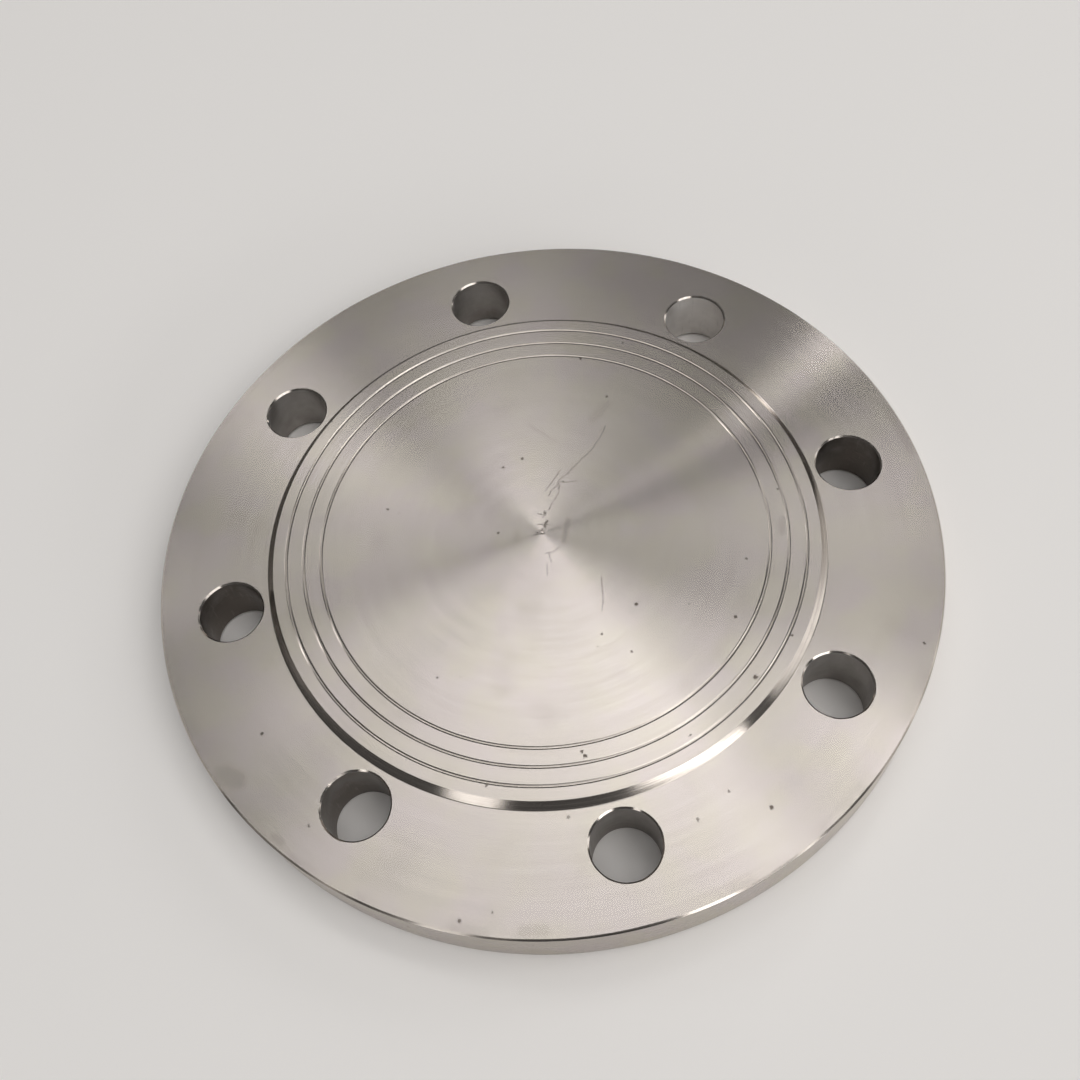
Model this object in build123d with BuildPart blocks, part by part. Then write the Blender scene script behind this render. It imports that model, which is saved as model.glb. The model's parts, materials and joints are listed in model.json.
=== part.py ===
from build123d import *
import math
import os

os.makedirs("parts", exist_ok=True)

# Blind flange, DN 100, PN 16, raised face: one machined stainless disc.
# Millimetres. The origin is the centre of the back face and +Z is the disc's
# axis, towards the sealing face. The bolt holes straddle the X and Y axes.

# Disc
outside_diameter = 220.0
plate_thickness = 18.0
rim_break = 0.5

# Raised sealing face; its 45 degree wall reaches the full diameter at the flange face
raised_face_diameter = 158.0
raised_face_height = 2.0
root_radius = 0.4

# Shallow gasket grooves plunged into the sealing face with a round-nosed tool
groove_count = 3
first_groove_diameter = 146.5
groove_pitch = 5.0
groove_width = 1.0
groove_nose_radius = 0.8

# Shallow cone left by the facing tool at the turning centre
centre_mark_diameter = 1.2
centre_mark_depth = 0.15

# Bolt holes
bolt_circle_diameter = 180.0
bolt_hole_diameter = 18.0
bolt_hole_count = 8
hole_break = 0.45

# Worked-out sizes
rim_radius = outside_diameter / 2
overall_thickness = plate_thickness + raised_face_height
wall_foot_radius = raised_face_diameter / 2
wall_top_radius = wall_foot_radius - raised_face_height
groove_radii = [first_groove_diameter / 2 - groove_pitch * i for i in range(groove_count)]
groove_tool_lift = math.sqrt(groove_nose_radius**2 - (groove_width / 2) ** 2)
first_hole_angle = 180.0 / bolt_hole_count
radius_tolerance = 0.01

with BuildPart() as flange_disc:
    # Half section of the turned blank, on the X-Z plane
    with BuildSketch(Plane.XZ):
        with BuildLine():
            Polyline(
                (0, 0),
                (rim_radius, 0),
                (rim_radius, plate_thickness),
                (wall_foot_radius, plate_thickness),
                (wall_top_radius, overall_thickness),
                (0, overall_thickness),
                close=True,
            )
        make_face()
    revolve(axis=Axis.Z)

    # The tool's nose leaves a small radius where the wall meets the flange face
    flange_face_edges = flange_disc.edges().filter_by(GeomType.CIRCLE).group_by(Axis.Z)[1]
    fillet(flange_face_edges.sort_by(SortBy.RADIUS)[0], root_radius)

    # Both outer corners of the rim are broken
    rim_edges = flange_disc.edges().filter_by(GeomType.CIRCLE).filter_by(
        lambda edge: abs(edge.radius - rim_radius) < radius_tolerance
    )
    chamfer(rim_edges, rim_break)

    # Gasket grooves: the round tool nose dips below the face
    with BuildSketch(Plane.XZ):
        with Locations(*[(radius, overall_thickness + groove_tool_lift) for radius in groove_radii]):
            Circle(groove_nose_radius)
    revolve(axis=Axis.Z, mode=Mode.SUBTRACT)

    # Mark at the turning centre
    with BuildSketch(Plane.XZ):
        with BuildLine():
            Polyline(
                (0, overall_thickness),
                (centre_mark_diameter / 2, overall_thickness),
                (0, overall_thickness - centre_mark_depth),
                close=True,
            )
        make_face()
    revolve(axis=Axis.Z, mode=Mode.SUBTRACT)

    # Bolt holes, straight through, with both mouths broken
    with PolarLocations(bolt_circle_diameter / 2, bolt_hole_count, start_angle=first_hole_angle):
        Hole(radius=bolt_hole_diameter / 2)
    hole_edges = flange_disc.edges().filter_by(GeomType.CIRCLE).filter_by(
        lambda edge: abs(edge.radius - bolt_hole_diameter / 2) < radius_tolerance
    )
    chamfer(hole_edges, hole_break)

flange_disc.part.label = "flange_disc"
export_step(flange_disc.part, "parts/flange_disc.step")
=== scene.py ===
import json
import math
import random

import bmesh
import bpy
from mathutils import Matrix, Vector


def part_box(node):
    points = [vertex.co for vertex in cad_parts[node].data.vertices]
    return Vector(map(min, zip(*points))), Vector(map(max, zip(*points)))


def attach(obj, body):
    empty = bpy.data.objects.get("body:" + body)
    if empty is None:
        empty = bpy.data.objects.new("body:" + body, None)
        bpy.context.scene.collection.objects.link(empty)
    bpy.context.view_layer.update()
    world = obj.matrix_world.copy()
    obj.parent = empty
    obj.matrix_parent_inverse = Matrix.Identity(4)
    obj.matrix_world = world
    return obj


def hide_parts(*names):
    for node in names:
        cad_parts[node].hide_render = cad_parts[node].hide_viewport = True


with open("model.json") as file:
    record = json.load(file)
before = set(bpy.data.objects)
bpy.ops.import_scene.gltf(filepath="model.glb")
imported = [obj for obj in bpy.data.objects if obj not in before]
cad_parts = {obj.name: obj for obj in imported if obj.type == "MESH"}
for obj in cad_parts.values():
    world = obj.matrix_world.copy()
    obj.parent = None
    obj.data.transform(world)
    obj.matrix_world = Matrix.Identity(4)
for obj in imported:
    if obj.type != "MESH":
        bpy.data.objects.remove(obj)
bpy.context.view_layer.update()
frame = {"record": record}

MM = 0.001
NODE = "flange_disc"


# ---------------------------------------------------------------- sizes, from the frame
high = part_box(NODE)[1]
mounts = {mount["name"]: mount for mount in frame["record"]["mounts"]}
bolts = mounts["bolt_holes"]

RIM_RADIUS = high.x
FLANGE_FACE = bolts["pos_m"][2]
SEALING_FACE = high.z
HOLE_COUNT = bolts["dims"]["count"]
HOLE_RADIUS = bolts["dims"]["hole_r_mm"] * MM
BOLT_CIRCLE_RADIUS = bolts["dims"]["pcd_mm"] * MM / 2
FIRST_HOLE_ANGLE = math.pi / HOLE_COUNT

# ---------------------------------------------------------------- sizes of the turned details
RIM_BREAK = 0.5 * MM
HOLE_BREAK = 0.45 * MM
WALL_FOOT_RADIUS = 79 * MM
WALL_TOP_RADIUS = WALL_FOOT_RADIUS - (SEALING_FACE - FLANGE_FACE)
ROOT_RADIUS = 0.4 * MM
GROOVE_RADII = (63.25 * MM, 68.25 * MM, 73.25 * MM)
GROOVE_HALF_WIDTH = 0.5 * MM
GROOVE_NOSE_RADIUS = 0.8 * MM
MARK_RADIUS = 0.6 * MM
MARK_DEPTH = 0.15 * MM

# How far the hand-broken edges stray from their circles, and in how many waves round them.
RIM_WANDER = 0.03 * MM
RIM_WAVES = (5, 13, 31, 47)
HOLE_WANDER = 0.025 * MM
HOLE_WAVES = (2, 3, 5, 8, 13)

TURNS = 720          # segments round the disc
HOLE_TURNS = 144     # segments round a bolt hole
ARC_STEPS = 6        # segments of the small radius at the foot of the wall
GROOVE_STEPS = 10    # segments across a groove
SHARP_EDGE = math.radians(20)
FILL_SCALE = 1000


# ---------------------------------------------------------------- the disc's mesh
def ring(bm, radius, z, count, centre=(0.0, 0.0), wander=None):
    """A closed ring of vertices; wander adds to the radius at each angle."""
    verts = []
    for i in range(count):
        angle = 2 * math.pi * i / count
        r = radius + (wander(angle) if wander else 0.0)
        x = centre[0] + r * math.cos(angle)
        y = centre[1] + r * math.sin(angle)
        verts.append(bm.verts.new((x, y, z)))
    return verts


def hand_worked(seed, amount, waves):
    """How an edge broken by hand strays from its circle: a few waves of random size round it."""
    dice = random.Random(seed)
    parts = [(count, dice.uniform(0, 2 * math.pi), dice.uniform(0.3, 1.0)) for count in waves]

    def wander(angle):
        return amount * sum(size * math.sin(count * angle + phase) for count, phase, size in parts)

    return wander


def band(bm, inner, outer, zone):
    """Quads between two rings of the same count."""
    count = len(inner)
    for i in range(count):
        j = (i + 1) % count
        bm.faces.new((inner[i], outer[i], outer[j], inner[j])).material_index = zone


def loop_edges(bm, verts):
    """The edges of a closed ring, made where they are missing."""
    count = len(verts)
    found = []
    for i in range(count):
        pair = (verts[i], verts[(i + 1) % count])
        found.append(bm.edges.get(pair) or bm.edges.new(pair))
    return found


def groove_profile(radius):
    """Points (radius, z) across one groove: the arc that the tool's round nose leaves."""
    half_angle = math.asin(GROOVE_HALF_WIDTH / GROOVE_NOSE_RADIUS)
    points = []
    for i in range(GROOVE_STEPS + 1):
        angle = half_angle * (2 * i / GROOVE_STEPS - 1)
        points.append((
            radius + GROOVE_NOSE_RADIUS * math.sin(angle),
            SEALING_FACE - GROOVE_NOSE_RADIUS * (math.cos(angle) - math.cos(half_angle)),
        ))
    return points


def root_profile():
    """Points (radius, z) of the small radius between the wall and the flange face."""
    centre_r = WALL_FOOT_RADIUS + ROOT_RADIUS * math.tan(math.radians(22.5))
    centre_z = FLANGE_FACE + ROOT_RADIUS
    points = []
    for i in range(ARC_STEPS + 1):
        angle = math.radians(225 + 45 * i / ARC_STEPS)
        points.append((
            centre_r + ROOT_RADIUS * math.cos(angle),
            centre_z + ROOT_RADIUS * math.sin(angle),
        ))
    return points


def hole_centre(index):
    """Where a bolt hole's axis is, as x and y in metres."""
    angle = FIRST_HOLE_ANGLE + 2 * math.pi * index / HOLE_COUNT
    return BOLT_CIRCLE_RADIUS * math.cos(angle), BOLT_CIRCLE_RADIUS * math.sin(angle)


# the kinds of surface, in the order of their materials
FACE, WALL, BORE, RIM, BACK = range(5)


def build_disc():
    """The whole disc as one closed mesh, with a material for each kind of surface."""
    bm = bmesh.new()

    def turned(profile, first, zone):
        """Bands along a profile, starting from a ring that is already there."""
        rings = [first]
        for radius, z in profile:
            rings.append(ring(bm, radius, z, TURNS))
            band(bm, rings[-2], rings[-1], zone)
        return rings[-1]

    # turning mark in the centre
    tip = bm.verts.new((0, 0, SEALING_FACE - MARK_DEPTH))
    last = ring(bm, MARK_RADIUS, SEALING_FACE, TURNS)
    for i in range(TURNS):
        bm.faces.new((tip, last[i], last[(i + 1) % TURNS])).material_index = WALL

    # sealing face with its grooves
    for radius in GROOVE_RADII:
        profile = groove_profile(radius)
        last = turned(profile[:1], last, FACE)
        last = turned(profile[1:], last, WALL)
    last = turned([(WALL_TOP_RADIUS, SEALING_FACE)], last, FACE)
    root = turned(root_profile(), last, WALL)

    # rim
    uneven = hand_worked("rim", RIM_WANDER, RIM_WAVES)
    rim_top = ring(bm, RIM_RADIUS - RIM_BREAK, FLANGE_FACE, TURNS, wander=uneven)
    last = turned([(RIM_RADIUS, FLANGE_FACE - RIM_BREAK)], rim_top, WALL)
    last = turned([(RIM_RADIUS, RIM_BREAK)], last, RIM)
    rim_bottom = turned([(RIM_RADIUS - RIM_BREAK, 0)], last, WALL)

    # bolt holes
    top_loops = loop_edges(bm, root) + loop_edges(bm, rim_top)
    bottom_loops = loop_edges(bm, rim_bottom)
    for k in range(HOLE_COUNT):
        centre = hole_centre(k)
        levels = (
            (HOLE_RADIUS + HOLE_BREAK, FLANGE_FACE),
            (HOLE_RADIUS, FLANGE_FACE - HOLE_BREAK),
            (HOLE_RADIUS, HOLE_BREAK),
            (HOLE_RADIUS + HOLE_BREAK, 0),
        )
        rings = [ring(bm, radius, z, HOLE_TURNS, centre) for radius, z in levels[1:3]]
        for (radius, z), place in zip((levels[0], levels[3]), (0, 3)):
            uneven = hand_worked(f"hole {k} {place}", HOLE_WANDER, HOLE_WAVES)
            rings.insert(place, ring(bm, radius, z, HOLE_TURNS, centre, uneven))
        for upper, lower, zone in zip(rings, rings[1:], (WALL, BORE, WALL)):
            band(bm, lower, upper, zone)
        top_loops += loop_edges(bm, rings[0])
        bottom_loops += loop_edges(bm, rings[3])

    # flat faces round the holes, filled at a large scale, because the fill goes wrong where
    # points differ by only a few thousandths of a millimetre in x or y
    places = [(vert, vert.co.copy()) for vert in bm.verts]
    bmesh.ops.scale(bm, vec=(FILL_SCALE, FILL_SCALE, FILL_SCALE), verts=bm.verts)
    for loops, zone in ((top_loops, FACE), (bottom_loops, BACK)):
        filled = bmesh.ops.triangle_fill(bm, use_beauty=True, use_dissolve=False, edges=loops)
        for item in filled["geom"]:
            if isinstance(item, bmesh.types.BMFace):
                item.material_index = zone
    for vert, place in places:
        vert.co = place

    bmesh.ops.recalc_face_normals(bm, faces=bm.faces)
    mesh = bpy.data.meshes.new("disc")
    bm.to_mesh(mesh)
    bm.free()
    mesh.set_sharp_from_angle(angle=SHARP_EDGE)
    for polygon in mesh.polygons:
        polygon.use_smooth = polygon.material_index not in (FACE, BACK)
    disc = bpy.data.objects.new("disc", mesh)
    bpy.context.scene.collection.objects.link(disc)
    return disc


# ---------------------------------------------------------------- materials
# The shader's tangent runs round the axis. A quarter turn puts the rough direction across the
# turning lines.
ACROSS_THE_LINES = 0.25


class Pattern:
    """Makes and joins the nodes of one steel surface. Lengths in its patterns are millimetres."""

    def __init__(self, name, anisotropic):
        self.material = bpy.data.materials.new(name)
        self.material.use_nodes = True
        self.nodes = self.material.node_tree.nodes
        self.links = self.material.node_tree.links
        self.shader = self.nodes["Principled BSDF"]
        self.shader.inputs["Metallic"].default_value = 1.0
        self.shader.inputs["Anisotropic"].default_value = anisotropic
        self.shader.inputs["Anisotropic Rotation"].default_value = ACROSS_THE_LINES
        tangent = self.nodes.new("ShaderNodeTangent")
        tangent.direction_type = "RADIAL"
        tangent.axis = "Z"
        self.links.new(tangent.outputs["Tangent"], self.shader.inputs["Tangent"])

        coordinates = self.nodes.new("ShaderNodeTexCoord")
        self.place = self.vector("SCALE", coordinates.outputs["Object"], scale=1 / MM)
        flat = self.vector("MULTIPLY", self.place, (1, 1, 0))
        self.radius = self.vector("LENGTH", flat)
        self.heading = self.vector("NORMALIZE", flat)
        self.height = self.vector("DOT_PRODUCT", self.place, (0, 0, 1))

    def join(self, value, socket):
        """Puts another node's output or a plain value into a socket."""
        if isinstance(value, bpy.types.NodeSocket):
            self.links.new(value, socket)
        else:
            socket.default_value = value

    def math(self, operation, *values, clamp=False):
        node = self.nodes.new("ShaderNodeMath")
        node.operation = operation
        node.use_clamp = clamp
        for value, socket in zip(values, node.inputs):
            self.join(value, socket)
        return node.outputs["Value"]

    def vector(self, operation, *values, scale=None):
        node = self.nodes.new("ShaderNodeVectorMath")
        node.operation = operation
        for value, socket in zip(values, node.inputs):
            self.join(value, socket)
        if scale is not None:
            self.join(scale, node.inputs["Scale"])
        gives_number = operation in ("LENGTH", "DISTANCE", "DOT_PRODUCT")
        return node.outputs["Value" if gives_number else "Vector"]

    def noise(self, place, size, detail=2.0, output="Fac"):
        """Cloudy noise whose patches are about size millimetres across."""
        node = self.nodes.new("ShaderNodeTexNoise")
        self.join(place, node.inputs["Vector"])
        node.inputs["Scale"].default_value = 1 / size
        node.inputs["Detail"].default_value = detail
        return node.outputs[output]

    def step(self, value, start, end, low=0.0, high=1.0):
        """Goes smoothly from low to high as the value goes from start to end."""
        node = self.nodes.new("ShaderNodeMapRange")
        node.interpolation_type = "SMOOTHSTEP"
        for item, name in ((value, "Value"), (start, "From Min"), (end, "From Max"),
                           (low, "To Min"), (high, "To Max")):
            self.join(item, node.inputs[name])
        return node.outputs["Result"]

    def blend(self, amount, first, second):
        """A colour between two others."""
        node = self.nodes.new("ShaderNodeMix")
        node.data_type = "RGBA"
        self.join(amount, node.inputs[0])
        for value, socket in ((first, node.inputs[6]), (second, node.inputs[7])):
            self.join(value if isinstance(value, bpy.types.NodeSocket) else (*value, 1), socket)
        return node.outputs[2]

    def add(self, first, *others):
        """The sum of all values."""
        for other in others:
            first = self.math("ADD", first, other)
        return first

    def strongest(self, masks):
        """The largest of several masks at each point."""
        largest = masks[0]
        for mask in masks[1:]:
            largest = self.math("MAXIMUM", largest, mask)
        return largest

    def turning_lines(self, across, pitch, stretch):
        """Noise drawn out round the axis.

        pitch is its size across the lines, in millimetres. The larger stretch is, the shorter
        the lines are.
        """
        along = self.vector("SCALE", self.heading, scale=stretch)
        rise = self.nodes.new("ShaderNodeCombineXYZ")
        self.join(self.math("DIVIDE", across, pitch), rise.inputs["Z"])
        return self.noise(self.vector("ADD", along, rise.outputs["Vector"]), 1.0)

    def around(self, amount, value):
        """A change of up to half the amount each way, from a noise that runs from 0 to 1."""
        return self.math("MULTIPLY", self.math("SUBTRACT", value, 0.5), amount)

    def stroke(self, place, start, end, width, strength):
        """A mask along a straight line from start to end, about width across, with soft sides."""
        line = Vector((*end, 0)) - Vector((*start, 0))
        offset = self.vector("SUBTRACT", place, (*start, 0))
        share = self.vector("DOT_PRODUCT", offset, line / line.length_squared)
        share = self.math("MINIMUM", self.math("MAXIMUM", share, 0.0), 1.0)
        nearest = self.vector("SCALE", tuple(line), scale=share)
        distance = self.vector("DISTANCE", offset, nearest)
        return self.step(distance, 0.1 * width, 0.6 * width, strength, 0.0)

    def spot(self, place, centre, radius, strength):
        """A round mask that fades out over the outer part of its radius."""
        distance = self.vector("DISTANCE", place, (*centre, 0))
        return self.step(distance, 0.4 * radius, radius, strength, 0.0)

    def finish(self, colour, roughness, height, relief):
        """relief is the depth, in millimetres, of a height of 1."""
        self.join(colour, self.shader.inputs["Base Color"])
        self.join(roughness, self.shader.inputs["Roughness"])
        bump = self.nodes.new("ShaderNodeBump")
        bump.inputs["Distance"].default_value = relief * MM
        self.join(height, bump.inputs["Height"])
        self.links.new(bump.outputs["Normal"], self.shader.inputs["Normal"])
        return self.material


# Across the turning lines the face is six times as rough as along them.
FACE_ROUGHNESS = 0.22
FACE_ANISOTROPY = 0.93

STEEL = (0.49, 0.45, 0.41)
STEEL_BEIGE = (0.50, 0.46, 0.40)
STEEL_ROSY = (0.495, 0.445, 0.425)
GRIME = (0.12, 0.10, 0.085)
STAIN = (0.35, 0.31, 0.28)
WALL_DARK = (0.37, 0.33, 0.295)
WALL_BRIGHT = (0.51, 0.465, 0.42)
# The oily bore colour is partly painted shade: darker than oily steel, for the shade inside the
# holes.
BORE_OILY_PAINTED_SHADE = (0.16, 0.14, 0.123)
BORE_BARE = (0.78, 0.755, 0.73)
BORE_DRAGGED = (0.39, 0.365, 0.34)
PAPER = (0.9, 0.87, 0.84)

# Marks left by handling, in millimetres from the axis.
# Scratches: (width, strength, points along it).
SCRATCHES = (
    (0.9, 1.0, ((-0.5, 7.0), (-0.3, 6.0), (-0.6, 5.2))),
    (1.1, 1.0, ((0.8, 4.0), (0.0, 2.5), (0.5, 1.5), (-0.5, 0.7), (-1.5, 0.0))),
    (0.6, 0.8, ((-2.3, 6.0), (-0.5, 5.8))),
    (0.6, 0.8, ((-1.8, 2.5), (1.5, 2.8))),
    (0.6, 0.8, ((-2.0, -0.8), (0.6, -0.2))),
    (0.6, 0.6, ((0.5, 7.5), (1.0, 9.5), (2.0, 12.0), (2.5, 14.0), (2.2, 16.0), (1.7, 17.5))),
    (0.6, 0.55, ((-1.3, 14.0), (-0.2, 16.5), (0.8, 19.0), (1.5, 21.0))),
    (0.65, 0.7, ((-0.3, 12.5), (0.8, 15.0), (2.0, 16.5))),
    (0.7, 1.0, ((1.7, 17.3), (4.5, 17.5))),
    (0.6, 0.7, ((4.5, 17.5), (7.0, 18.2))),
    (0.65, 0.6, ((2.0, 18.0), (4.0, 20.5), (6.0, 23.5), (7.0, 25.5))),
    (0.65, 0.45, ((7.0, 25.5), (9.5, 29.0))),
    (0.8, 0.4, ((9.5, 29.0), (12.0, 35.0), (12.5, 38.0))),
    (0.6, 0.5, ((2.0, -6.3), (4.0, -6.0), (5.5, -4.0))),
    (0.6, 0.45, ((3.0, -6.5), (4.0, -9.0))),
    (0.6, 0.4, ((3.0, -10.0), (3.5, -13.0))),
    (0.6, 0.6, ((18.5, -12.0), (20.0, -19.0), (20.0, -22.0))),
)
# Smudges: (width, strength, start and end).
SMUDGES = (
    (2.0, 0.6, ((6.5, 5.0), (6.5, -2.0))),
    (1.5, 0.3, ((-7.5, 0.0), (-7.0, -3.0))),
    (1.5, 0.2, ((-10.0, 36.0), (-1.0, 31.0))),
    (4.0, 0.3, ((8.5, 40.0), (12.0, 46.0))),
    (3.0, 0.3, ((66.0, 8.0), (66.0, 12.0))),
    (3.5, 0.3, ((61.0, -89.0), (65.0, -88.0))),
    (4.0, 0.3, ((13.0, -107.0), (18.0, -106.0))),
    (7.0, 0.45, ((-71.0, -80.0), (-67.0, -81.0))),
    (3.0, 0.4, ((-53.0, -94.0), (-51.0, -95.0))),
    (4.0, 0.2, ((-70.0, 69.0), (-62.0, 74.0))),
)
# Specks: (x, y, radius, strength).
SPECKS = (
    (-10.0, 24.0, 0.55, 0.9),
    (-15.0, 20.5, 0.6, 1.0),
    (-12.5, -1.5, 0.6, 0.8),
    (-46.0, 2.5, 0.6, 0.9),
    (29.0, -19.0, 0.7, 1.0),
    (21.0, -29.0, 0.45, 0.7),
    (29.5, -33.0, 0.45, 0.8),
    (55.5, -19.5, 0.7, 1.0),
    (57.0, -1.5, 0.55, 0.8),
    (43.0, -17.0, 0.45, 0.6),
    (62.0, -36.0, 0.9, 1.0),
    (70.5, -23.0, 0.6, 0.9),
    (67.5, -10.0, 0.55, 0.7),
    (20.5, -62.0, 0.55, 0.9),
    (21.5, -63.0, 0.8, 1.0),
    (-2.0, -74.0, 0.55, 0.8),
    (47.0, -54.0, 0.45, 0.6),
    (11.5, 49.0, 0.6, 0.8),
    (1.5, 62.5, 0.6, 0.9),
    (13.5, 70.0, 0.6, 0.7),
    (64.0, 22.0, 0.6, 0.8),
    (-20.5, -47.0, 0.45, 0.6),
    (58.0, -66.5, 0.55, 0.7),
    (68.5, -69.0, 0.7, 1.0),
    (51.0, -74.5, 0.6, 0.7),
    (19.5, -78.5, 0.6, 0.6),
    (104.5, -20.0, 0.55, 0.8),
    (5.0, -104.0, 0.45, 0.6),
    (-2.5, -107.0, 0.7, 0.9),
    (-64.0, -68.0, 0.7, 0.8),
    (-45.0, -90.0, 0.55, 0.7),
)


def turned_face():
    """The finely turned sealing face and flange face, with the marks of handling."""
    p = Pattern("turned_face", FACE_ANISOTROPY)
    fine = p.turning_lines(p.radius, pitch=0.5, stretch=3.0)
    broad = p.turning_lines(p.radius, pitch=2.5, stretch=2.0)
    patches = p.noise(p.place, size=24.0, detail=3.0)
    tint = p.noise(p.vector("ADD", p.place, (40, 10, 0)), size=16.0)
    film = p.noise(p.vector("ADD", p.place, (0, 70, 0)), size=14.0, detail=3.0)
    film = p.step(film, 0.5, 0.8)

    # scratches, smudges and specks, with ragged edges
    flat = p.vector("MULTIPLY", p.place, (1, 1, 0))
    unsteady = p.vector("SUBTRACT", p.noise(p.place, size=1.2, output="Color"), (0.5, 0.5, 0.5))
    drawn = p.vector("ADD", flat, p.vector("MULTIPLY", unsteady, (0.8, 0.8, 0)))
    ragged = p.vector("SUBTRACT", p.noise(p.place, size=0.5, output="Color"), (0.5, 0.5, 0.5))
    worn = p.vector("ADD", flat, p.vector("MULTIPLY", ragged, (1.3, 1.3, 0)))
    scratches = []
    for width, strength, points in SCRATCHES:
        for start, end in zip(points, points[1:]):
            scratches.append(p.stroke(drawn, start, end, width, strength))
    smudges = []
    for width, strength, points in SMUDGES:
        smudges.append(p.stroke(worn, *points, width, strength))
    specks = [p.spot(worn, (x, y), radius, strength) for x, y, radius, strength in SPECKS]

    # fine specks of dirt scattered all over, in about one cell out of ten
    cell_size = 7.0
    cells = p.nodes.new("ShaderNodeTexVoronoi")
    cells.inputs["Scale"].default_value = 1 / cell_size
    p.join(worn, cells.inputs["Vector"])
    chosen = p.step(p.vector("DOT_PRODUCT", cells.outputs["Color"], (1, 0, 0)), 0.90, 0.91)
    dots = p.step(cells.outputs["Distance"], 0.02, 0.05, low=0.45, high=0.0)
    dots = p.math("MULTIPLY", dots, chosen)

    broken = p.noise(p.vector("ADD", p.place, (0, 0, 50)), size=1.0)
    broken = p.step(broken, 0.38, 0.6, low=0.25, high=0.8)
    scratch = p.math("MULTIPLY", p.strongest(scratches), broken)
    dirt = p.strongest([scratch, dots] + specks)
    edge = p.step(p.noise(p.vector("ADD", p.place, (0, 30, 0)), size=12.0, detail=3.0), 0.45, 0.7)
    edge = p.math("MULTIPLY", edge, p.step(p.radius, 105.0, 109.5, high=0.35))
    smudge = p.strongest(smudges + [edge])

    colour = p.blend(p.step(tint, 0.35, 0.65), STEEL_ROSY, STEEL_BEIGE)
    colour = p.blend(p.step(patches, 0.3, 0.7, high=0.6), colour, STEEL)
    lines = p.add(p.step(fine, 0.3, 0.7, high=0.1), p.step(broad, 0.3, 0.7, high=0.1))
    colour = p.blend(lines, colour, STAIN)
    colour = p.blend(p.math("MULTIPLY", film, 0.13), colour, STAIN)
    colour = p.blend(smudge, colour, STAIN)
    colour = p.blend(dirt, colour, GRIME)
    roughness = p.add(
        FACE_ROUGHNESS,
        p.around(0.03, patches),
        p.math("MULTIPLY", film, 0.015),
        p.math("MULTIPLY", smudge, 0.05),
        p.math("MULTIPLY", dirt, 0.08),
    )
    height = p.math("SUBTRACT", broad, dirt)
    return p.finish(colour, roughness, height, relief=0.002)


def turned_wall():
    """The smooth turned wall of the raised face, the grooves and the broken edges."""
    p = Pattern("turned_wall", 0.6)
    slope = p.math("SUBTRACT", p.radius, p.height)
    lines = p.turning_lines(slope, pitch=0.35, stretch=2.0)
    patches = p.noise(p.place, size=6.0, detail=3.0)
    colour = p.blend(p.step(lines, 0.3, 0.7), WALL_DARK, WALL_BRIGHT)
    colour = p.blend(p.step(patches, 0.5, 0.8, high=0.35), colour, STAIN)
    roughness = p.add(0.17, p.around(0.12, lines), p.around(0.08, patches))
    return p.finish(colour, roughness, lines, relief=0.004)


# How clean each bolt hole's wall looks, from dark and oily at 0 to bare and matt at 1; partly
# painted shade.
BORE_CLEANNESS_AND_SHADE = (0.05, 1.0, 0.5, 0.55, 0.05, 0.15, 0.35, 0.5)


def drilled_bore():
    """The walls of the bolt holes: rings left by the drill, drag marks, a dull film and painted
    shade.
    """
    p = Pattern("drilled_bore", 0.4)
    rings = p.turning_lines(p.height, pitch=0.35, stretch=8.0)
    stretched = p.vector("MULTIPLY", p.place, (1, 1, 0.12))
    drags = p.noise(stretched, size=0.8, detail=3.0)
    film = p.noise(p.place, size=5.0, detail=4.0)
    flat = p.vector("MULTIPLY", p.place, (1, 1, 0))
    reach = 3 * HOLE_RADIUS / MM  # so wide that the mask doesn't fade on the hole's own wall
    masks = []
    # A tone for each hole, partly painted shade that darkens some holes more than others.
    for index, cleanness_and_shade in enumerate(BORE_CLEANNESS_AND_SHADE):
        x, y = hole_centre(index)
        masks.append(p.spot(flat, (x / MM, y / MM), reach, cleanness_and_shade))
    clean_and_painted_shade = p.add(p.strongest(masks), p.around(0.5, film))
    # Painted shade: the wall is darker, and less rough, towards the bottom of the hole where it
    # meets the floor.
    low = p.step(p.height, 2.0, 15.0, low=1.0, high=0.0)
    clean_and_painted_shade = p.math("SUBTRACT", clean_and_painted_shade, p.math("MULTIPLY", low, 0.25), clamp=True)
    colour = p.blend(clean_and_painted_shade, BORE_OILY_PAINTED_SHADE, BORE_BARE)
    colour = p.blend(p.step(drags, 0.58, 0.75, high=0.25), colour, BORE_DRAGGED)
    roughness = p.add(
        0.33,
        p.math("MULTIPLY", clean_and_painted_shade, 0.2),
        p.around(0.2, rings),
        p.around(0.15, film),
        p.around(0.1, drags),
    )
    height = p.add(rings, p.math("MULTIPLY", drags, 0.5))
    return p.finish(colour, roughness, height, relief=0.03)


def turned_rim():
    """The outer side of the disc, turned a little more coarsely than its face."""
    p = Pattern("turned_rim", 0.75)
    lines = p.turning_lines(p.height, pitch=0.45, stretch=4.0)
    patches = p.noise(p.place, size=12.0, detail=4.0)
    knocks = p.noise(p.vector("MULTIPLY", p.place, (1, 1, 0.6)), size=3.0, detail=3.0)
    knocks = p.step(knocks, 0.66, 0.74)
    colour = p.blend(p.step(patches, 0.35, 0.65), STEEL_ROSY, STEEL_BEIGE)
    colour = p.blend(p.math("MULTIPLY", knocks, 0.5), colour, STAIN)
    roughness = p.add(
        0.28, p.around(0.12, lines), p.around(0.08, patches), p.math("MULTIPLY", knocks, 0.12)
    )
    height = p.math("SUBTRACT", lines, p.math("MULTIPLY", knocks, 0.6))
    return p.finish(colour, roughness, height, relief=0.02)


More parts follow.
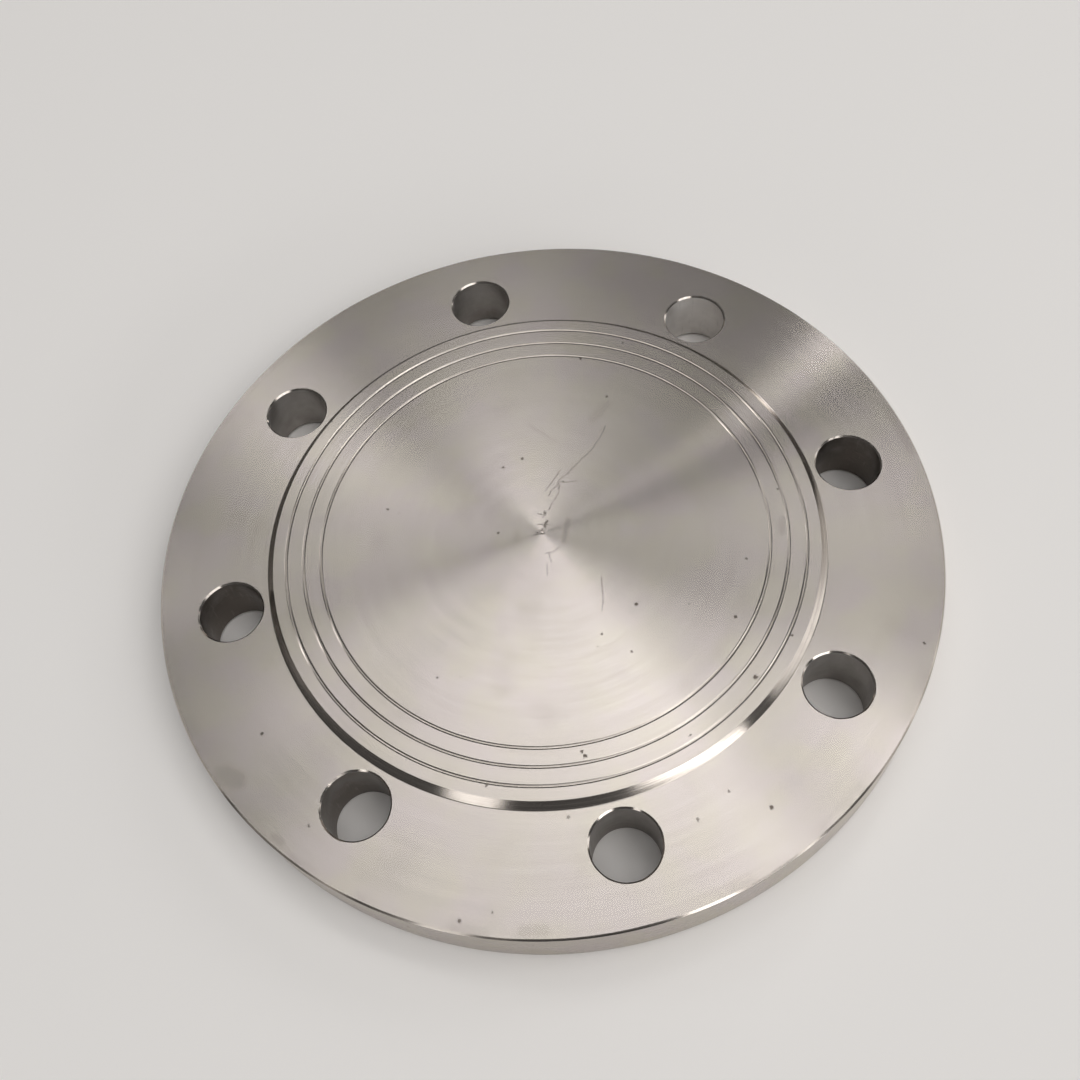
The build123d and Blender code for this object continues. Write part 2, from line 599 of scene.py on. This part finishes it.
def turned_back():
    """The back: faced with a coarser feed, so that its lines show, and a little stained."""
    p = Pattern("turned_back", 0.8)
    feed_pitch = 1.2
    feed = p.math("SINE", p.math("MULTIPLY", p.radius, 2 * math.pi / feed_pitch))
    feed = p.math("MULTIPLY_ADD", feed, 0.5, 0.5)
    lines = p.turning_lines(p.radius, pitch=0.8, stretch=2.0)
    patches = p.noise(p.place, size=20.0, detail=4.0)
    film = p.step(p.noise(p.place, size=8.0, detail=4.0), 0.5, 0.7)
    colour = p.blend(p.step(patches, 0.35, 0.65), STEEL_ROSY, STEEL)
    colour = p.blend(p.math("MULTIPLY", film, 0.3), colour, STAIN)
    roughness = p.add(0.29, p.around(0.06, feed), p.around(0.1, lines), p.around(0.08, patches))
    height = p.add(p.math("MULTIPLY", feed, 0.6), p.math("MULTIPLY", lines, 0.6))
    return p.finish(colour, roughness, height, relief=0.012)


disc = build_disc()
for material in (turned_face(), turned_wall(), drilled_bore(), turned_rim(), turned_back()):
    disc.data.materials.append(material)
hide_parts(NODE)
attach(disc, "root")


# ---------------------------------------------------------------- floor
FLOOR_REACH = 3.0
FLOOR_GAP = 0.5 * MM    # below the disc's back, so that the two don't lie in one plane


def floor():
    reach = FLOOR_REACH
    corners = [(-reach, -reach, 0), (reach, -reach, 0), (reach, reach, 0), (-reach, reach, 0)]
    mesh = bpy.data.meshes.new("floor")
    mesh.from_pydata(corners, [], [(0, 1, 2, 3)])
    plane = bpy.data.objects.new("floor", mesh)
    bpy.context.scene.collection.objects.link(plane)
    material = bpy.data.materials.new("floor_paper")
    material.use_nodes = True
    shader = material.node_tree.nodes["Principled BSDF"]
    shader.inputs["Base Color"].default_value = (*PAPER, 1)
    shader.inputs["Roughness"].default_value = 0.9
    mesh.materials.append(material)
    plane.location.z = -FLOOR_GAP


floor()

# ---------------------------------------------------------------- camera
CAMERA_LENS_MM = 37.9
CAMERA_TURN = math.radians(18)         # heading of the view, anticlockwise from +Y
CAMERA_PITCH = math.radians(59.9)      # below the horizontal
CAMERA_ROLL = math.radians(-9.75)
CAMERA_PLACE = (49.2 * MM, -154.7 * MM, 296.2 * MM)
SENSOR_WIDTH_MM = 36.0
NEAREST_SEEN = 10 * MM

camera_data = bpy.data.cameras.new("camera")
camera_data.lens = CAMERA_LENS_MM
camera_data.sensor_width = SENSOR_WIDTH_MM
camera_data.clip_start = NEAREST_SEEN
camera = bpy.data.objects.new("camera", camera_data)
bpy.context.scene.collection.objects.link(camera)
bpy.context.scene.camera = camera
camera.matrix_world = (
    Matrix.Translation(CAMERA_PLACE)
    @ Matrix.Rotation(CAMERA_TURN, 4, "Z")
    @ Matrix.Rotation(math.pi / 2 - CAMERA_PITCH, 4, "X")
    @ Matrix.Rotation(CAMERA_ROLL, 4, "Z")
)

# ---------------------------------------------------------------- light
LIGHT_DISTANCE = 5.0    # metres
ROOM_LIGHT = 0.11


def soft_box(name, tilt, heading, width, height, spin, radiance):
    """A large, far, rectangular lamp that faces the disc.

    tilt is its angle from straight up and heading its direction round +Z from +X. width and
    height are the angles that it fills, and spin turns it about the line to the disc: at 0 its
    width runs straight down the sky. All angles are in degrees.
    """
    lamp = bpy.data.lights.new(name, "AREA")
    lamp.shape = "RECTANGLE"
    lamp.size = 2 * LIGHT_DISTANCE * math.tan(math.radians(width) / 2)
    lamp.size_y = 2 * LIGHT_DISTANCE * math.tan(math.radians(height) / 2)
    lamp.energy = radiance * math.pi * lamp.size * lamp.size_y
    holder = bpy.data.objects.new(name, lamp)
    bpy.context.scene.collection.objects.link(holder)
    holder.matrix_world = (
        Matrix.Rotation(math.radians(heading), 4, "Z")
        @ Matrix.Rotation(math.radians(tilt), 4, "Y")
        @ Matrix.Translation((0, 0, LIGHT_DISTANCE))
        @ Matrix.Rotation(math.radians(spin), 4, "Z")
    )


soft_box("window_bar", 23, 113, 22, 6, 70, 3.3)
soft_box("window_left", 36, 125, 5, 11, 90, 2.4)
soft_box("window_right", 20, 55, 5, 40, -40, 3.0)
soft_box("overhead", 5, -80, 35, 50, -55, 1.0)
soft_box("far_glow", 32, 108, 5, 14, 90, 1.0)
soft_box("pane_right", 30, 25, 12, 12, 0, 4.5)
soft_box("streak_right", 62, 71, 3, 35, 73, 5.5)
soft_box("shelf_left", 50, 160, 25, 8, 40, 1.0)
soft_box("shelf_right", 55, 45, 25, 12, -45, 1.8)
soft_box("side_right", 85, 20, 10, 60, 0, 2.0)
soft_box("near_right", 45, -35, 30, 45, 30, 2.5)
soft_box("low_right", 75, -40, 35, 8, 100, 5.0)
soft_box("low_left", 75, -105, 15, 12, -55, 2.5)

world = bpy.data.worlds.new("studio")
world.use_nodes = True
world.node_tree.nodes["Background"].inputs["Color"].default_value = (1, 1, 1, 1)
world.node_tree.nodes["Background"].inputs["Strength"].default_value = ROOM_LIGHT
bpy.context.scene.world = world
bpy.context.scene.view_settings.view_transform = "Standard"
